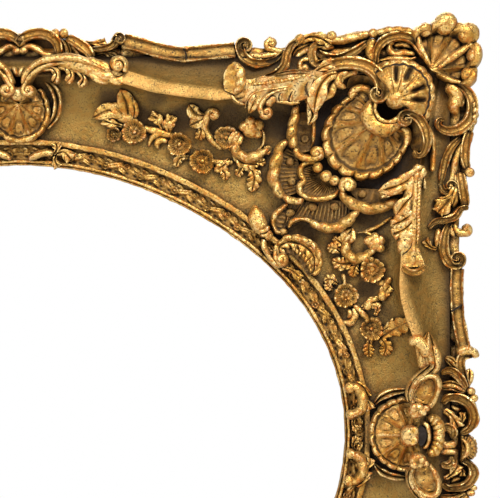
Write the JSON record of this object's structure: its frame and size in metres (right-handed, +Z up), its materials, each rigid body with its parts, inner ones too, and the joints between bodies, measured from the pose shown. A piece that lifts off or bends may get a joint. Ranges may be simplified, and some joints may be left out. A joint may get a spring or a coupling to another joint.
{
  "type": "ornate gilded picture frame",
  "caption": "Rectangular gilded rococo-style picture frame with an oval sight, swept hollow moulding, shell corners, flower sprays, turn buttons and hanging rings.",
  "frame": {"origin": "centre of the oval sight, in the plane of the wall", "axes": "+X to the right as seen from the front, +Y into the wall, +Z up"},
  "size_m": [0.841, 0.0703, 0.757],
  "materials": {
    "gilt_ornament": "aged burnished gilding over gesso",
    "gilt_hollow": "aged matte gilding over sanded gesso",
    "gilt_moulding": "aged gilding over red bole",
    "back_wood": "bare old pine",
    "brass": "dull brass",
    "steel": "zinc plated",
    "felt": "felt"
  },
  "bodies": {
    "body": {"back_rail_bottom": "back_wood", "back_rail_left": "back_wood", "back_rail_right": "back_wood", "back_rail_top": "back_wood", "bumpers": "felt", "centre_cartouche_bottom": "gilt_ornament", "centre_cartouche_left": "gilt_ornament", "centre_cartouche_right": "gilt_ornament", "centre_cartouche_top": "gilt_ornament", "centre_crest_bottom": "gilt_ornament", "centre_crest_left": "gilt_ornament", "centre_crest_right": "gilt_ornament", "centre_crest_top": "gilt_ornament", "corner_fan_bottom_left": "gilt_ornament", "corner_fan_bottom_right": "gilt_ornament", "corner_fan_top_left": "gilt_ornament", "corner_fan_top_right": "gilt_ornament", "corner_leaves_bottom_left": "gilt_ornament", "corner_leaves_bottom_right": "gilt_ornament", "corner_leaves_top_left": "gilt_ornament", "corner_leaves_top_right": "gilt_ornament", "corner_scrolls_bottom_left": "gilt_ornament", "corner_scrolls_bottom_right": "gilt_ornament", "corner_scrolls_top_left": "gilt_ornament", "corner_scrolls_top_right": "gilt_ornament", "corner_shell_bottom_left": "gilt_ornament", "corner_shell_bottom_right": "gilt_ornament", "corner_shell_top_left": "gilt_ornament", "corner_shell_top_right": "gilt_ornament", "edge_moulding_bottom": "gilt_moulding", "edge_moulding_left": "gilt_moulding", "edge_moulding_right": "gilt_moulding", "edge_moulding_top": "gilt_moulding", "flower_sprays_bottom_left": "gilt_ornament", "flower_sprays_bottom_right": "gilt_ornament", "flower_sprays_top_left": "gilt_ornament", "flower_sprays_top_right": "gilt_ornament", "hanger_plates": "brass", "hollow_bottom": "gilt_hollow", "hollow_left": "gilt_hollow", "hollow_right": "gilt_hollow", "hollow_top": "gilt_hollow", "mitre_keys": "back_wood", "screws": "steel", "sight_clasps": "gilt_ornament", "sight_leaves": "gilt_ornament", "sight_moulding_bottom_left": "gilt_moulding", "sight_moulding_bottom_right": "gilt_moulding", "sight_moulding_top_left": "gilt_moulding", "sight_moulding_top_right": "gilt_moulding", "spandrel_bottom_left": "back_wood", "spandrel_bottom_right": "back_wood", "spandrel_top_left": "back_wood", "spandrel_top_right": "back_wood"},
    "d_ring_left": {"d_ring_left": "steel"},
    "d_ring_right": {"d_ring_right": "steel"},
    "turn_button_bottom": {"turn_button_bottom": "brass"},
    "turn_button_left": {"turn_button_left": "brass"},
    "turn_button_right": {"turn_button_right": "brass"},
    "turn_button_top": {"turn_button_top": "brass"}
  },
  "joints": [
    {"name": "turn_top", "type": "hinge", "parent": "body", "child": "turn_button_top", "pos_m": [0, -0.004, 0.2805], "axis": [0, 1, 0], "continuous": true},
    {"name": "turn_bottom", "type": "hinge", "parent": "body", "child": "turn_button_bottom", "pos_m": [0, -0.004, -0.2805], "axis": [0, 1, 0], "continuous": true},
    {"name": "turn_right", "type": "hinge", "parent": "body", "child": "turn_button_right", "pos_m": [0.332, -0.004, 0], "axis": [0, 1, 0], "continuous": true},
    {"name": "turn_left", "type": "hinge", "parent": "body", "child": "turn_button_left", "pos_m": [-0.332, -0.004, 0], "axis": [0, 1, 0], "continuous": true},
    {"name": "ring_right", "type": "hinge", "parent": "body", "child": "d_ring_right", "pos_m": [0.345, -0.00292, 0.08], "axis": [0, 0, 1], "range_deg": [-150, 0]},
    {"name": "ring_left", "type": "hinge", "parent": "body", "child": "d_ring_left", "pos_m": [-0.345, -0.00292, 0.08], "axis": [0, 0, 1], "range_deg": [0, 150]}
  ]
}
